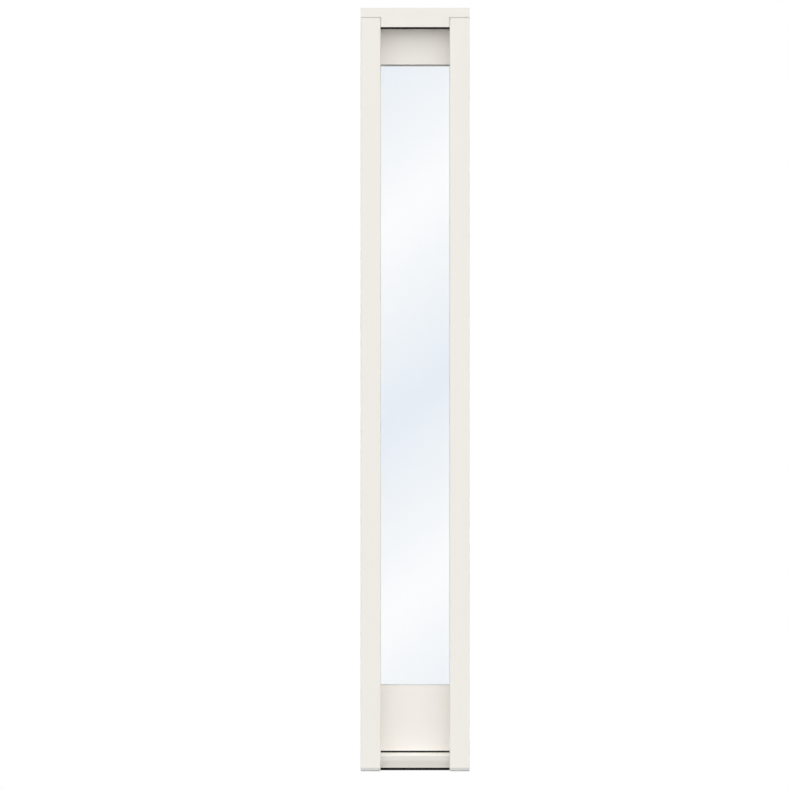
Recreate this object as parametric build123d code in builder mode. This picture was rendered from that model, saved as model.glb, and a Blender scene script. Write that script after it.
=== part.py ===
from build123d import *

import os

# A fixed timber sidelight, in millimetres. The outside faces -Y, +X is to the right
# seen from outside, and the origin is on the floor at the middle of the frame.

# Frame
frame_width = 300.0
frame_height = 2100.0
frame_depth = 115.0
jamb_face = 55.0
head_face = 53.0
head_lap = 27.6
rebate_width = 15.0
arris_radius = 3.0
room_arris = 1.0
joint_groove = 1.8
groove_depth = 4.0

# Feet, threshold and the seal under it
foot_height = 9.5
foot_edge = 2.0
threshold_height = 41.8
threshold_fall = 7.8
threshold_nose = 31.0
nose_radius = 3.0
nose_undercut = 3.0
undercut_height = 20.0
undercut_radius = 40.0
base_seal_height = 7.0
base_seal_inset = 5.0
base_seal_back = 3.0
base_seal_rib = 4.0
base_seal_rib_count = 6

# Rails between the jambs, each measured to the sight line of the glass
top_rail_height = 99.0
bottom_rail_height = 179.6
rail_rebate = 12.3
rail_lip = 10.0
rail_land = 2.0
top_bevel = 2.0
bottom_bevel = 0.6
head_gap = 5.5
threshold_gap = 5.2
seal_inset = 2.0
seal_round = 1.2
seal_groove = 0.6

# Triple glazed unit
pane_thickness = 4.0
pane_gap = 12.0
edge_clearance = 4.0
spacer_height = 7.0
spacer_inset = 3.0
spacer_corner = 2.0

# What holds the unit in the rebate
gasket_thickness = 3.0
gasket_show = 0.8
gasket_bevel = 1.0
tape_thickness = 2.0
bead_depth = 14.0
bead_setback = 2.0
bead_round = 4.0
block_length = 40.0
block_inset = 30.0

# Frame screws, reached when the side beads are off
screw_hole_radius = 4.0
screw_end_distance = 75.0
screws_per_jamb = 4

# Depths, as Y from the front face towards the room
front_y = -frame_depth / 2
rear_y = frame_depth / 2
bead_rear_y = rear_y - bead_setback
bead_front_y = bead_rear_y - bead_depth
unit_rear_y = bead_front_y - tape_thickness
unit_thickness = 3 * pane_thickness + 2 * pane_gap
unit_front_y = unit_rear_y - unit_thickness
rebate_y = unit_front_y - gasket_thickness
rail_face_y = rebate_y - rail_lip
nose_y = rail_face_y - threshold_nose

# Widths, as X to the right of the middle
outer_x = frame_width / 2
sight_x = outer_x - jamb_face
rebate_x = sight_x + rebate_width
unit_x = rebate_x - edge_clearance

# Heights
head_bottom_z = frame_height - head_face
jamb_top_z = frame_height - head_lap
head_rebate_z = head_bottom_z + rebate_width
threshold_top_z = foot_height + threshold_height
bottom_rail_z = threshold_top_z + threshold_gap
bottom_sight_z = bottom_rail_z + bottom_rail_height
top_rail_z = head_bottom_z - head_gap
top_sight_z = top_rail_z - top_rail_height
bottom_rebate_z = bottom_sight_z - rail_rebate
top_rebate_z = top_sight_z + rail_rebate
glass_middle_z = (bottom_sight_z + top_sight_z) / 2


os.makedirs("parts", exist_ok=True)


def save(part, label):
    part.label = label
    export_step(part, f"parts/{label}.step")


# Rebated plan of one jamb: a nib in front of the glass and a narrower back
def jamb_outline(side):
    with BuildLine() as outline:
        Polyline(
            (side * outer_x, front_y),
            (side * outer_x, rear_y),
            (side * rebate_x, rear_y),
            (side * rebate_x, rebate_y),
            (side * sight_x, rebate_y),
            (side * sight_x, front_y),
            close=True,
        )
    make_face(outline.edges())


# Cuts the cross piece being built so that it fits between both jambs
def scribe_to_jambs():
    for side in (-1, 1):
        with BuildSketch(Plane.XY) as jamb_plan:
            jamb_outline(side)
        extrude(jamb_plan.sketch, amount=jamb_top_z, mode=Mode.SUBTRACT)


# Outline in Y and Z of a piece that runs from side to side
def cross_section(*points):
    with BuildLine() as outline:
        Polyline(*points, close=True)
    make_face(outline.edges())


# Rectangle in the rebate of the glass, inset evenly from its four walls
def glazing_outline(inset, mode=Mode.ADD):
    width = 2 * (rebate_x - inset)
    height = top_rebate_z - bottom_rebate_z - 2 * inset
    Rectangle(width, height, mode=mode)


# Upright plane at a depth, drawn in X and Z about the middle of the glass
def upright_plane(y):
    return Plane(origin=(0, y, glass_middle_z), x_dir=(1, 0, 0), z_dir=(0, -1, 0))


# Divides a ring round the glass into its four mitred lengths
def mitred_sides(ring, label):
    low_z, high_z = bottom_rebate_z, top_rebate_z
    left_x, right_x = -rebate_x, rebate_x
    cuts = {
        "left": [(left_x, low_z, -1, 1), (left_x, high_z, -1, -1), (0, low_z, -1, 0)],
        "right": [(right_x, low_z, 1, 1), (right_x, high_z, 1, -1), (0, low_z, 1, 0)],
        "bottom": [(left_x, low_z, 1, -1), (right_x, low_z, -1, -1)],
        "top": [(left_x, high_z, 1, 1), (right_x, high_z, -1, 1)],
    }
    for side_name, planes in cuts.items():
        with BuildPart() as length:
            add(ring.part)
            for x, z, toward_x, toward_z in planes:
                cut = Plane(origin=(x, 0, z), z_dir=(toward_x, 0, toward_z))
                split(bisect_by=cut, keep=Keep.TOP)
        save(length.part, f"{side_name}_{label}")


# Jambs, each rebated at the back, with holes for the frame screws under its side bead
screw_y = (bead_front_y + bead_rear_y) / 2
screw_span = top_rebate_z - bottom_rebate_z - 2 * screw_end_distance
screw_pitch = screw_span / (screws_per_jamb - 1)
for side_name, side in (("left", -1), ("right", 1)):
    with BuildPart() as jamb:
        with BuildSketch(Plane.XY.offset(foot_height)):
            jamb_outline(side)
        extrude(amount=jamb_top_z - foot_height)
        fillet(jamb.edges().filter_by(Axis.Z).group_by(Axis.Y)[0], radius=arris_radius)
        fillet(jamb.edges().filter_by(Axis.Z).group_by(Axis.Y)[-1], radius=room_arris)
        side_face = Plane(
            origin=(side * outer_x, screw_y, glass_middle_z),
            x_dir=(0, 1, 0),
            z_dir=(side, 0, 0),
        )
        with Locations(side_face):
            with GridLocations(0, screw_pitch, 1, screws_per_jamb):
                Hole(radius=screw_hole_radius, depth=jamb_face)
    save(jamb.part, f"{side_name}_jamb")

# Plastic foot under each jamb
for side_name, side in (("left", -1), ("right", 1)):
    with BuildPart() as foot:
        with BuildSketch(Plane.XY):
            jamb_outline(side)
        extrude(amount=foot_height)
        fillet(foot.edges().filter_by(Axis.Z).group_by(Axis.Y)[0], radius=arris_radius)
        chamfer(foot.faces().sort_by(Axis.Z)[0].edges(), length=foot_edge)
    save(foot.part, f"{side_name}_jamb_foot")

# Head, rebated like the jambs, halved at its ends so that it laps over them, with a
# painted groove along the joints in front
with BuildPart() as frame_head:
    with BuildSketch(Plane.YZ):
        cross_section(
            (front_y, head_bottom_z),
            (rebate_y, head_bottom_z),
            (rebate_y, head_rebate_z),
            (rear_y, head_rebate_z),
            (rear_y, frame_height),
            (front_y, frame_height),
        )
    extrude(amount=outer_x, both=True)
    scribe_to_jambs()
    groove_x = (outer_x + sight_x - joint_groove) / 2
    groove_height = jamb_top_z + joint_groove - head_bottom_z
    groove_middle_z = head_bottom_z + groove_height / 2
    with Locations((-groove_x, front_y, groove_middle_z), (groove_x, front_y, groove_middle_z)):
        Box(jamb_face + joint_groove, 2 * groove_depth, groove_height, mode=Mode.SUBTRACT)
save(frame_head.part, "frame_head")

# Threshold, with a falling top in front of the bottom rail and a rounded nose
with BuildPart() as threshold:
    with BuildSketch(Plane.YZ):
        cross_section(
            (nose_y + nose_undercut, foot_height),
            (nose_y, foot_height + undercut_height),
            (nose_y, threshold_top_z - threshold_fall),
            (rail_face_y, threshold_top_z),
            (rear_y, threshold_top_z),
            (rear_y, foot_height),
        )
    extrude(amount=rebate_x, both=True)
    scribe_to_jambs()
    nose_edges = threshold.edges().filter_by(Axis.X).group_by(Axis.Y)[0].sort_by(Axis.Z)
    fillet(nose_edges[-1], radius=nose_radius)
    undercut_edge = threshold.edges().filter_by(Axis.X).group_by(Axis.Y)[0].sort_by(Axis.Z)[0]
    fillet(undercut_edge, radius=undercut_radius)
save(threshold.part, "threshold")

# Ribbed rubber seal under the threshold
with BuildPart() as base_seal:
    seal_front_y = nose_y + base_seal_inset
    seal_depth = rear_y - base_seal_inset - seal_front_y
    seal_middle = Plane.XY.offset(foot_height).move(Location((0, seal_front_y + seal_depth / 2, 0)))
    with BuildSketch(seal_middle):
        Rectangle(2 * sight_x, seal_depth)
    extrude(amount=-base_seal_back)
    rib_pitch = (seal_depth - base_seal_rib) / (base_seal_rib_count - 1)
    with BuildSketch(seal_middle.offset(-base_seal_back)):
        with GridLocations(0, rib_pitch, 1, base_seal_rib_count):
            Rectangle(2 * sight_x, base_seal_rib)
    extrude(amount=base_seal_back - base_seal_height)
save(base_seal.part, "base_seal")

# Top rail, seated in the rebates of the head and jambs, bevelled over the glass
with BuildPart() as top_rail:
    with BuildSketch(Plane.YZ):
        cross_section(
            (rail_face_y, top_rail_z),
            (rail_face_y, top_sight_z + top_bevel),
            (rebate_y - rail_land, top_sight_z),
            (rebate_y, top_sight_z),
            (rebate_y, top_rebate_z),
            (bead_rear_y, top_rebate_z),
            (bead_rear_y, head_rebate_z),
            (rebate_y, head_rebate_z),
            (rebate_y, top_rail_z),
        )
    extrude(amount=rebate_x, both=True)
    scribe_to_jambs()
save(top_rail.part, "top_rail")

# Bottom rail, standing on the threshold, with a weathered edge under the glass
with BuildPart() as bottom_rail:
    with BuildSketch(Plane.YZ):
        cross_section(
            (rail_face_y, bottom_rail_z),
            (rail_face_y, bottom_sight_z - bottom_bevel),
            (rebate_y - rail_land, bottom_sight_z),
            (rebate_y, bottom_sight_z),
            (rebate_y, bottom_rebate_z),
            (bead_rear_y, bottom_rebate_z),
            (bead_rear_y, threshold_top_z),
            (rebate_y, threshold_top_z),
            (rebate_y, bottom_rail_z),
        )
    extrude(amount=rebate_x, both=True)
    scribe_to_jambs()
save(bottom_rail.part, "bottom_rail")

# Black seals in the two gaps of the rails, a little behind their faces
for label, low_z, high_z in (
    ("head_seal", top_rail_z, head_bottom_z),
    ("threshold_seal", threshold_top_z, bottom_rail_z),
):
    with BuildPart() as gap_seal:
        with BuildSketch(Plane.YZ):
            cross_section(
                (rail_face_y + seal_inset, low_z),
                (rail_face_y + seal_inset, high_z),
                (rebate_y, high_z),
                (rebate_y, low_z),
            )
        extrude(amount=sight_x, both=True)
        fillet(gap_seal.edges().filter_by(Axis.X).group_by(Axis.Y)[0], radius=seal_round)
        with BuildSketch(Plane.YZ):
            with Locations((rail_face_y + seal_inset, (low_z + high_z) / 2)):
                Circle(seal_groove)
        extrude(amount=sight_x, both=True, mode=Mode.SUBTRACT)
    save(gap_seal.part, label)

# Panes of the glazed unit, from the outside inwards
pane_pitch = pane_thickness + pane_gap
for number, pane_name in enumerate(("outer_pane", "middle_pane", "inner_pane")):
    with BuildPart() as pane:
        with BuildSketch(upright_plane(unit_front_y + number * pane_pitch)):
            glazing_outline(edge_clearance)
        extrude(amount=-pane_thickness)
    save(pane.part, pane_name)

# Spacer bar and edge sealant in each gap between panes
spacer_line = edge_clearance + spacer_inset
for number, gap_name in enumerate(("outer", "inner")):
    gap_plane = upright_plane(unit_front_y + pane_thickness + number * pane_pitch)
    with BuildPart() as spacer:
        with BuildSketch(gap_plane) as spacer_sketch:
            glazing_outline(spacer_line)
            fillet(spacer_sketch.vertices(), radius=spacer_corner)
            glazing_outline(spacer_line + spacer_height, mode=Mode.SUBTRACT)
        extrude(amount=-pane_gap)
    save(spacer.part, f"{gap_name}_spacer")
    with BuildPart() as edge_seal:
        with BuildSketch(gap_plane):
            glazing_outline(edge_clearance)
        extrude(amount=-pane_gap)
        with BuildSketch(gap_plane) as spacer_sketch:
            glazing_outline(spacer_line)
            fillet(spacer_sketch.vertices(), radius=spacer_corner)
        extrude(amount=-pane_gap, mode=Mode.SUBTRACT)
    save(edge_seal.part, f"{gap_name}_edge_seal")

# Outer gasket between the front nibs and the glass
with BuildPart() as outer_gasket:
    with BuildSketch(upright_plane(rebate_y)):
        glazing_outline(edge_clearance)
        glazing_outline(rebate_width + gasket_show, mode=Mode.SUBTRACT)
    extrude(amount=-gasket_thickness)
    chamfer(outer_gasket.faces().sort_by(Axis.Y)[0].inner_wires().edges(), length=gasket_bevel)
mitred_sides(outer_gasket, "outer_gasket")

# Glazing tape between the glass and the beads
with BuildPart() as glazing_tape:
    with BuildSketch(upright_plane(unit_rear_y)):
        glazing_outline(edge_clearance)
        glazing_outline(rebate_width, mode=Mode.SUBTRACT)
    extrude(amount=-tape_thickness)
mitred_sides(glazing_tape, "glazing_tape")

# Glazing beads on the room side, rounded towards the glass and mitred at the corners
with BuildPart() as glazing_bead:
    with BuildSketch(upright_plane(bead_front_y)):
        glazing_outline(0)
        glazing_outline(rebate_width, mode=Mode.SUBTRACT)
    extrude(amount=-bead_depth)
    room_face = glazing_bead.faces().sort_by(Axis.Y)[-1]
    fillet(room_face.inner_wires().edges(), radius=bead_round)
mitred_sides(glazing_bead, "bead")

# Setting blocks that carry the glazed unit on the bottom rail
block_x = unit_x - block_inset - block_length / 2
for side_name, side in (("left", -1), ("right", 1)):
    with BuildPart() as block:
        block_middle = Location((side * block_x, (unit_front_y + unit_rear_y) / 2, 0))
        with BuildSketch(Plane.XY.offset(bottom_rebate_z).move(block_middle)):
            Rectangle(block_length, unit_thickness)
        extrude(amount=edge_clearance)
    save(block.part, f"{side_name}_setting_block")
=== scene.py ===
import math

import bmesh
import bpy
from mathutils import Matrix, Vector


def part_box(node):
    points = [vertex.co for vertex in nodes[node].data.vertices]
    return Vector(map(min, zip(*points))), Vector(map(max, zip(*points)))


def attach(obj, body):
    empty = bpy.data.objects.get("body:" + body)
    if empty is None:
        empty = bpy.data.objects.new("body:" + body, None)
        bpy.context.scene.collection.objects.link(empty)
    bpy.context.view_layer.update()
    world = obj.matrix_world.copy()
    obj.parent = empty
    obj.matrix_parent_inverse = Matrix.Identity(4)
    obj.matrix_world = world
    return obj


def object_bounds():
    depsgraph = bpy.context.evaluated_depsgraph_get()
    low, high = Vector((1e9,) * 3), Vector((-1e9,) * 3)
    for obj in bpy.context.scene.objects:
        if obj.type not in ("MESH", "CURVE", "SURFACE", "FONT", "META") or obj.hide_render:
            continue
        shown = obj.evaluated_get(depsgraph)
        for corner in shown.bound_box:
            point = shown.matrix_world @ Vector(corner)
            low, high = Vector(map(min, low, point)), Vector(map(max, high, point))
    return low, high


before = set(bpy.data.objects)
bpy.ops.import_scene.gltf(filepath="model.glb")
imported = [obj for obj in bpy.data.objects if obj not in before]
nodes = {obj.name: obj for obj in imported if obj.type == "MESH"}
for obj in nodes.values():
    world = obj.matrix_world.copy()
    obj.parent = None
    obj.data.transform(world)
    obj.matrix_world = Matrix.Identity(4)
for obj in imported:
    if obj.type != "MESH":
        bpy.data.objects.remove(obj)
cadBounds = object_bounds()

sides = ("left", "right", "top", "bottom")
print("frame loaded:", len(nodes), "nodes")


# Shader wiring: one socket, with the operators that the materials use
class Signal:
    def __init__(self, tree, socket=None):
        self.tree = tree
        self.socket = socket

    def node(self, kind, settings=None, sockets=None, output=0):
        made = self.tree.nodes.new(kind)
        for name, value in (settings or {}).items():
            if name == "stops":
                setStops(made.color_ramp, value)
            else:
                setattr(made, name, value)
        for key, value in (sockets or {}).items():
            if isinstance(value, Signal):
                self.tree.links.new(value.socket, made.inputs[key])
            else:
                made.inputs[key].default_value = value
        if not made.outputs:  # an output node ends its tree
            return None
        return Signal(self.tree, made.outputs[output])

    def maths(self, operation, first, second):
        return self.node("ShaderNodeMath", {"operation": operation}, {0: first, 1: second})

    def __add__(self, other):
        return self.maths("ADD", self, other)

    def __radd__(self, other):
        return self.maths("ADD", other, self)

    def __mul__(self, other):
        return self.maths("MULTIPLY", self, other)

    def __rmul__(self, other):
        return self.maths("MULTIPLY", other, self)


def setStops(ramp, stops):
    while len(ramp.elements) < len(stops):
        ramp.elements.new(0.5)
    for element, (position, color) in zip(ramp.elements, stops):
        element.position = position
        element.color = (*color, 1)


def newMaterial(name):
    material = bpy.data.materials.new(name)
    material.use_nodes = True
    material.node_tree.nodes.clear()
    return material, Signal(material.node_tree)


def closeMaterial(material, start, surface):
    start.node("ShaderNodeOutputMaterial", {}, {"Surface": surface})
    return material


def objectSpace(start, scale=(1, 1, 1), turn=(0, 0, 0)):
    coords = start.node("ShaderNodeTexCoord", output="Object")
    return start.node("ShaderNodeMapping", {}, {"Vector": coords, "Scale": scale, "Rotation": turn})


def noise(start, vector, scale, detail, roughness=0.5):
    sockets = {"Vector": vector, "Scale": scale, "Detail": detail, "Roughness": roughness}
    return start.node("ShaderNodeTexNoise", {}, sockets)


def mixColors(start, factor, first, second):
    return start.node("ShaderNodeMix", {"data_type": "RGBA"}, {0: factor, 6: first, 7: second}, 2)


def bump(start, look, height):
    sockets = {"Strength": look["relief"], "Distance": look["reliefDepth"], "Height": height}
    return start.node("ShaderNodeBump", {}, sockets)


def principled(start, look, tone, roughness, relief):
    sockets = {
        "Base Color": tone,
        "Roughness": roughness,
        "Specular IOR Level": look["shine"],
        "Normal": relief,
    }
    return start.node("ShaderNodeBsdfPrincipled", {}, sockets)


def rayKind(start, kind):
    return start.node("ShaderNodeLightPath", output=f"Is {kind} Ray")


# Sprayed paint over planed softwood, with the grain just showing along each timber
framePaintLook = {
    "deep": (0.815, 0.783, 0.735, 1),
    "pale": (0.850, 0.822, 0.776, 1),
    "grainStretch": {"x": (1, 40, 40), "z": (40, 40, 1)},
    "grainScale": 5.0,
    "grainDetail": 4.0,
    "grainRoughness": 0.6,
    "cloudScale": 2.6,
    "cloudDetail": 2.0,
    "peelScale": 700.0,
    "peelDetail": 1.0,
    "grainShare": 0.6,
    "grainHeight": 0.5,
    "peelHeight": 0.25,
    "relief": 0.22,
    "reliefDepth": 0.0004,
    "roughness": 0.34,
    "roughnessSpread": 0.12,
    "shine": 0.28,
}
# Threshold: the frame's white paint made darker, painted shade for the shade it sits in at the foot
# of the recess
thresholdShadedPaintLook = dict(
    framePaintLook,
    deep=(0.715, 0.690, 0.646, 1),
    pale=(0.750, 0.727, 0.685, 1),
    relief=0.28,
    roughness=0.50,
    shine=0.06,
)


def paintMaterial(name, look, grainAxis):
    material, start = newMaterial(name)
    along = objectSpace(start, look["grainStretch"][grainAxis])
    still = objectSpace(start)
    grain = noise(start, along, look["grainScale"], look["grainDetail"], look["grainRoughness"])
    cloud = noise(start, still, look["cloudScale"], look["cloudDetail"])
    peel = noise(start, still, look["peelScale"], look["peelDetail"])  # the orange peel of a spray
    blend = grain * look["grainShare"] + cloud * (1 - look["grainShare"])
    tone = mixColors(start, blend, look["deep"], look["pale"])
    relief = bump(start, look, grain * look["grainHeight"] + peel * look["peelHeight"])
    roughness = look["roughness"] + cloud * look["roughnessSpread"]
    return closeMaterial(material, start, principled(start, look, tone, roughness, relief))


# Extruded rubber, drawn in fine lines along its length
sealLook = {
    "deep": (0.028, 0.028, 0.029, 1),
    "pale": (0.045, 0.045, 0.046, 1),
    "stretch": (1, 60, 60),
    "lineScale": 16.0,
    "lineDetail": 2.0,
    "dustScale": 30.0,
    "dustDetail": 4.0,
    "dustRoughness": 0.65,
    "relief": 0.35,
    "reliefDepth": 0.0003,
    "roughness": 0.62,
    "roughnessSpread": 0.15,
    "shine": 0.18,
}
baseSealLook = dict(
    sealLook,
    deep=(0.008, 0.008, 0.008, 1),
    pale=(0.016, 0.016, 0.016, 1),
    shine=0.1,
)
gasketLook = dict(
    sealLook,
    deep=(0.48, 0.48, 0.475, 1),
    pale=(0.56, 0.56, 0.555, 1),
    stretch=(60, 60, 1),
    shine=0.3,
)
tapeLook = dict(
    sealLook,
    deep=(0.55, 0.55, 0.53, 1),
    pale=(0.66, 0.66, 0.64, 1),
    stretch=(60, 60, 1),
)
sealantLook = dict(baseSealLook, stretch=(1, 1, 1), lineScale=90.0, roughness=0.4)


def rubberMaterial(name, look):
    material, start = newMaterial(name)
    along = objectSpace(start, look["stretch"])
    still = objectSpace(start)
    drawn = noise(start, along, look["lineScale"], look["lineDetail"])
    dust = noise(start, still, look["dustScale"], look["dustDetail"], look["dustRoughness"])
    tone = mixColors(start, dust, look["deep"], look["pale"])
    relief = bump(start, look, drawn)
    roughness = look["roughness"] + dust * look["roughnessSpread"]
    return closeMaterial(material, start, principled(start, look, tone, roughness, relief))


# Moulded plastic with a fine spark texture
footLook = {
    "deep": (0.580, 0.586, 0.560, 1),
    "pale": (0.650, 0.656, 0.630, 1),
    "sparkScale": 1400.0,
    "sparkDetail": 2.0,
    "flowScale": 24.0,
    "flowDetail": 3.0,
    "relief": 0.25,
    "reliefDepth": 0.0002,
    "roughness": 0.42,
    "roughnessSpread": 0.12,
    "shine": 0.45,
}
blockLook = dict(footLook, deep=(0.03, 0.03, 0.032, 1), pale=(0.05, 0.05, 0.052, 1))


def plasticMaterial(name, look):
    material, start = newMaterial(name)
    still = objectSpace(start)
    spark = noise(start, still, look["sparkScale"], look["sparkDetail"])
    flow = noise(start, still, look["flowScale"], look["flowDetail"])
    tone = mixColors(start, flow, look["deep"], look["pale"])
    relief = bump(start, look, spark)
    roughness = look["roughness"] + spark * look["roughnessSpread"]
    return closeMaterial(material, start, principled(start, look, tone, roughness, relief))


# Warm edge spacer, with the pinholes that let the drying agent breathe, drawn as near-black dots:
# painted shade where the holes are
spacerLook = {
    "bar": (0.30, 0.30, 0.31, 1),
    "hole": (0.05, 0.05, 0.05, 1),
    "holeShade": 0.8,
    "pinholePitch": 0.004,
    "pinholeShare": 0.16,
    "brushStretch": (50, 50, 2),
    "brushScale": 12.0,
    "brushDetail": 3.0,
    "relief": 0.2,
    "reliefDepth": 0.0003,
    "roughness": 0.42,
    "roughnessSpread": 0.1,
    "shine": 0.4,
}


def spacerMaterial(name, look):
    material, start = newMaterial(name)
    along = objectSpace(start, look["brushStretch"])
    still = objectSpace(start)
    brushed = noise(start, along, look["brushScale"], look["brushDetail"])
    pinholes = start.node(
        "ShaderNodeTexVoronoi",
        {"feature": "F1"},
        {"Vector": still, "Scale": 1 / look["pinholePitch"], "Randomness": 0.0},
    )
    # the pinhole dots darken the colour only, painted shade in place of real holes
    hole = start.maths("LESS_THAN", pinholes, look["pinholeShare"])
    tone = mixColors(start, hole * look["holeShade"], look["bar"], look["hole"])
    relief = bump(start, look, brushed)
    roughness = look["roughness"] + brushed * look["roughnessSpread"]
    return closeMaterial(material, start, principled(start, look, tone, roughness, relief))


# Clear float glass: a thin mirror over what stands behind it, stronger at a glance
glassLook = {
    "tint": (0.998, 1.0, 0.999, 1),
    "mirror": 0.04,
    "glanceBlend": 0.5,
    "glancePower": 5.0,
    "waveStretch": (1, 1, 0.35),
    "waveScale": 3.0,
    "waveDetail": 1.0,
    "relief": 0.02,
    "reliefDepth": 0.001,
}


def glassMaterial(name, look):
    material, start = newMaterial(name)
    along = objectSpace(start, look["waveStretch"])
    wave = noise(start, along, look["waveScale"], look["waveDetail"])
    facing = start.node("ShaderNodeLayerWeight", {}, {"Blend": look["glanceBlend"]}, "Facing")
    glance = start.maths("POWER", facing, look["glancePower"])
    mirror = start.node(
        "ShaderNodeBsdfAnisotropic",
        {"distribution": "GGX"},
        {"Color": (1, 1, 1, 1), "Roughness": 0.0, "Normal": bump(start, look, wave)},
    )
    through = start.node("ShaderNodeBsdfTransparent", {}, {"Color": look["tint"]})
    share = look["mirror"] + glance * (1 - look["mirror"])
    surface = start.node("ShaderNodeMixShader", {}, {0: share, 1: through, 2: mirror})
    return closeMaterial(material, start, surface)


def dress(names, material):
    for name in names:
        slots = nodes[name].data.materials
        slots.clear()
        slots.append(material)


paintUpright = paintMaterial("framePaintUpright", framePaintLook, "z")
paintLevel = paintMaterial("framePaintLevel", framePaintLook, "x")
dress(["left_jamb", "right_jamb", "left_bead", "right_bead"], paintUpright)
dress(["frame_head", "top_rail", "bottom_rail", "top_bead", "bottom_bead"], paintLevel)
# the threshold takes the darker copy of the paint, painted shade
dress(["threshold"], paintMaterial("thresholdPaint", thresholdShadedPaintLook, "x"))
dress(["left_jamb_foot", "right_jamb_foot"], plasticMaterial("footPlastic", footLook))
dress(["left_setting_block", "right_setting_block"], plasticMaterial("blockPlastic", blockLook))
dress(["head_seal", "threshold_seal"], rubberMaterial("sealRubber", sealLook))
dress(["base_seal"], rubberMaterial("baseSealRubber", baseSealLook))
dress([f"{side}_outer_gasket" for side in sides], rubberMaterial("glazingRubber", gasketLook))
dress([f"{side}_glazing_tape" for side in sides], rubberMaterial("glazingTape", tapeLook))
dress(["outer_edge_seal", "inner_edge_seal"], rubberMaterial("edgeSealant", sealantLook))
dress(["outer_spacer", "inner_spacer"], spacerMaterial("spacerBar", spacerLook))
dress(["outer_pane", "middle_pane", "inner_pane"], glassMaterial("clearGlass", glassLook))
print("materials set")


# Pins that hold the glazing beads, punched nearly flush and painted over
beadPin = {
    "headRadius": 0.0010,
    "proud": 0.00015,
    "dimpleInset": 0.0004,
    "dimpleShare": 0.6,
    "segments": 16,
    "spacing": 0.18,
    "endGap": 0.045,
    "fromRebate": 0.0055,
}


def pinHead(shape, place):
    firstVert = len(shape.verts)
    circle = bmesh.ops.create_circle(
        shape, cap_ends=True, segments=beadPin["segments"], radius=beadPin["headRadius"]
    )
    disc = circle["verts"][0].link_faces[0]
    raised = bmesh.ops.extrude_face_region(shape, geom=[disc])["geom"]
    lifted = [item for item in raised if isinstance(item, bmesh.types.BMVert)]
    bmesh.ops.translate(shape, verts=lifted, vec=(0, 0, beadPin["proud"]))
    struck = [item for item in raised if isinstance(item, bmesh.types.BMFace)]
    bmesh.ops.inset_region(
        shape,
        faces=struck,
        thickness=beadPin["dimpleInset"],
        depth=-beadPin["proud"] * beadPin["dimpleShare"],
    )
    shape.verts.ensure_lookup_table()
    bmesh.ops.transform(shape, matrix=place, verts=shape.verts[firstVert:])


def pinPlaces(side):
    low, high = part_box(f"{side}_bead")
    upright = side in ("left", "right")
    start = (low.z if upright else low.x) + beadPin["endGap"]
    end = (high.z if upright else high.x) - beadPin["endGap"]
    gaps = max(1, round((end - start) / beadPin["spacing"]))
    across = {
        "left": low.x + beadPin["fromRebate"],
        "right": high.x - beadPin["fromRebate"],
        "top": high.z - beadPin["fromRebate"],
        "bottom": low.z + beadPin["fromRebate"],
    }[side]
    for step in range(gaps + 1):
        run = start + (end - start) * step / gaps
        yield Vector((across, high.y, run)) if upright else Vector((run, high.y, across))


shape = bmesh.new()
towardRoom = Matrix.Rotation(-math.pi / 2, 4, "X")
for side in sides:
    for place in pinPlaces(side):
        pinHead(shape, Matrix.Translation(place) @ towardRoom)
bmesh.ops.recalc_face_normals(shape, faces=shape.faces)
pinMesh = bpy.data.meshes.new("beadPins")
shape.to_mesh(pinMesh)
shape.free()
pins = bpy.data.objects.new("beadPins", pinMesh)
bpy.context.scene.collection.objects.link(pins)
pinMesh.materials.append(paintUpright)
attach(pins, "root")
print("bead pins placed")


# Camera: square on to the outside, at the photograph's scale and place in the picture
cameraLook = {
    "pixels": 790,
    "metresPerPixel": 0.002751,
    "objectColumn": 415.1,
    "topRow": 7.8,
    "distance": 3.0,
}
middlePixel = cameraLook["pixels"] / 2
cameraX = (middlePixel - cameraLook["objectColumn"]) * cameraLook["metresPerPixel"]
cameraZ = cadBounds[1][2] - (middlePixel - cameraLook["topRow"]) * cameraLook["metresPerPixel"]
cameraData = bpy.data.cameras.new("camera")
cameraData.type = "ORTHO"
cameraData.ortho_scale = cameraLook["pixels"] * cameraLook["metresPerPixel"]
camera = bpy.data.objects.new("camera", cameraData)
camera.location = (cameraX, -cameraLook["distance"], cameraZ)
camera.rotation_euler = (math.pi / 2, 0, 0)
bpy.context.scene.collection.objects.link(camera)
bpy.context.scene.camera = camera


# Lamps, in degrees: a wide soft key in front, and two low ones behind for the back and sides
keyLook = {"strength": 5.32, "angle": 140.0, "rise": 14.0, "turn": 3.0}
rimLook = {"strength": 2.05, "angle": 50.0, "rise": 4.0, "turn": 138.0}


def softSun(name, look, turn):
    data = bpy.data.lights.new(name, "SUN")
    data.energy = look["strength"]
    data.angle = math.radians(look["angle"])
    lamp = bpy.data.objects.new(name, data)
    lamp.rotation_euler = (math.radians(90 - look["rise"]), 0, math.radians(turn))
    lamp.visible_camera = False
    bpy.context.scene.collection.objects.link(lamp)


softSun("keyLight", keyLook, keyLook["turn"])
softSun("rimLightLeft", rimLook, -rimLook["turn"])
softSun("rimLightRight", rimLook, rimLook["turn"])


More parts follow.
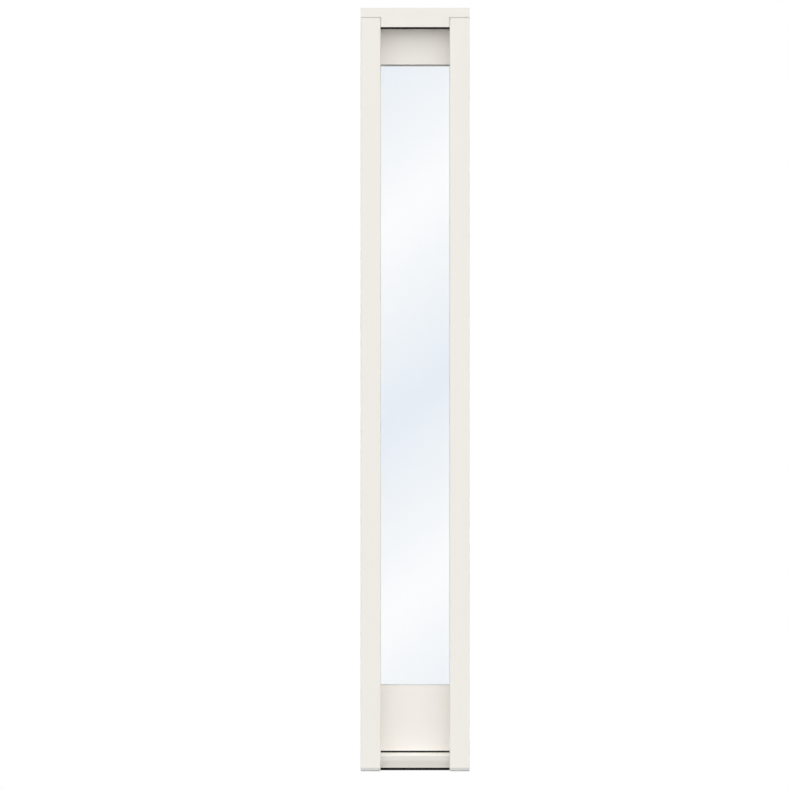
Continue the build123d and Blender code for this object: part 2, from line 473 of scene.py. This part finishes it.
# World: white where it is seen or mirrored by the glass, and a faint fill as a light
worldLook = {"fill": 0.04, "fillColor": (0.97, 0.98, 1, 1), "seen": (1, 1, 1, 1)}
world = bpy.data.worlds.new("studio")
bpy.context.scene.world = world
world.use_nodes = True
world.node_tree.nodes.clear()
air = Signal(world.node_tree)
fillLight = air.node(
    "ShaderNodeBackground", {}, {"Color": worldLook["fillColor"], "Strength": worldLook["fill"]}
)
whiteView = air.node("ShaderNodeBackground", {}, {"Color": worldLook["seen"], "Strength": 1.0})
mirrored = rayKind(air, "Glossy") * rayKind(air, "Singular")  # not the satin paint's own gloss
straight = air.maths("MAXIMUM", rayKind(air, "Camera"), rayKind(air, "Transmission"))
seen = air.maths("MAXIMUM", straight, mirrored)
both = air.node("ShaderNodeMixShader", {}, {0: seen, 1: fillLight, 2: whiteView})
air.node("ShaderNodeOutputWorld", {}, {"Surface": both})


def stagePlane(name, size, place, turn, material):
    shape = bmesh.new()
    bmesh.ops.create_grid(shape, x_segments=1, y_segments=1, size=0.5)  # one metre square
    bmesh.ops.scale(shape, vec=(size[0], size[1], 1), verts=shape.verts)
    bmesh.ops.rotate(shape, matrix=Matrix.Rotation(turn, 3, "X"), verts=shape.verts)
    bmesh.ops.translate(shape, vec=place, verts=shape.verts)
    mesh = bpy.data.meshes.new(name)
    shape.to_mesh(mesh)
    shape.free()
    made = bpy.data.objects.new(name, mesh)
    bpy.context.scene.collection.objects.link(made)
    mesh.materials.append(material)
    return made


# Floor: white to see, but quiet as a light from below
floorLook = {
    "size": (400, 400),
    "seen": (1.00, 1.00, 1.00, 1),
    "lighting": (0.12, 0.12, 0.12, 1),
    "roughness": 0.7,
}
floorMaterial, start = newMaterial("studioFloor")
floorSeen = start.maths("MAXIMUM", rayKind(start, "Camera"), rayKind(start, "Glossy"))
floorTone = mixColors(start, floorSeen, floorLook["lighting"], floorLook["seen"])
floorPaint = start.node(
    "ShaderNodeBsdfPrincipled", {}, {"Base Color": floorTone, "Roughness": floorLook["roughness"]}
)
closeMaterial(floorMaterial, start, floorPaint)
stagePlane("floor", floorLook["size"], (0, 0, 0), 0, floorMaterial)


# Card of pale sky in front, with slanted bands, which only the glass mirrors
skyCard = {
    "size": (1.2, 3.0),
    "place": (0, -2.4, 1.05),
    "slant": 38.6,
    "rampPerMetre": 0.5,
    "rampShift": 0.1,
    "bandMiddle": 0.50,
    "bandPitch": 0.21,
    "white": (1.06, 1.06, 1.12),
    "blue": (0.02, 0.29, 0.68),
}
skyStops = [  # blue, white, blue, white, blue
    (skyCard["bandMiddle"] + step * skyCard["bandPitch"], skyCard["white" if step % 2 else "blue"])
    for step in range(-2, 3)
]
skyMaterial, start = newMaterial("skyCard")
slanted = objectSpace(start, turn=(0, math.radians(skyCard["slant"]), 0))
height = start.node("ShaderNodeSeparateXYZ", {}, {"Vector": slanted}, "Z")
ramp = height * skyCard["rampPerMetre"] + skyCard["rampShift"]
bands = start.node("ShaderNodeValToRGB", {"stops": skyStops}, {"Fac": ramp})
glow = start.node("ShaderNodeEmission", {}, {"Color": bands, "Strength": 1.0})
onlyMirrored = start.node("ShaderNodeMixShader", {}, {0: rayKind(start, "Singular"), 2: glow})
closeMaterial(skyMaterial, start, onlyMirrored)
card = stagePlane("skyCard", skyCard["size"], skyCard["place"], math.pi / 2, skyMaterial)
card.visible_camera = False
card.visible_diffuse = False
card.visible_transmission = False
card.visible_shadow = False


bpy.context.scene.view_settings.view_transform = "Standard"
print("camera, light and stage set")
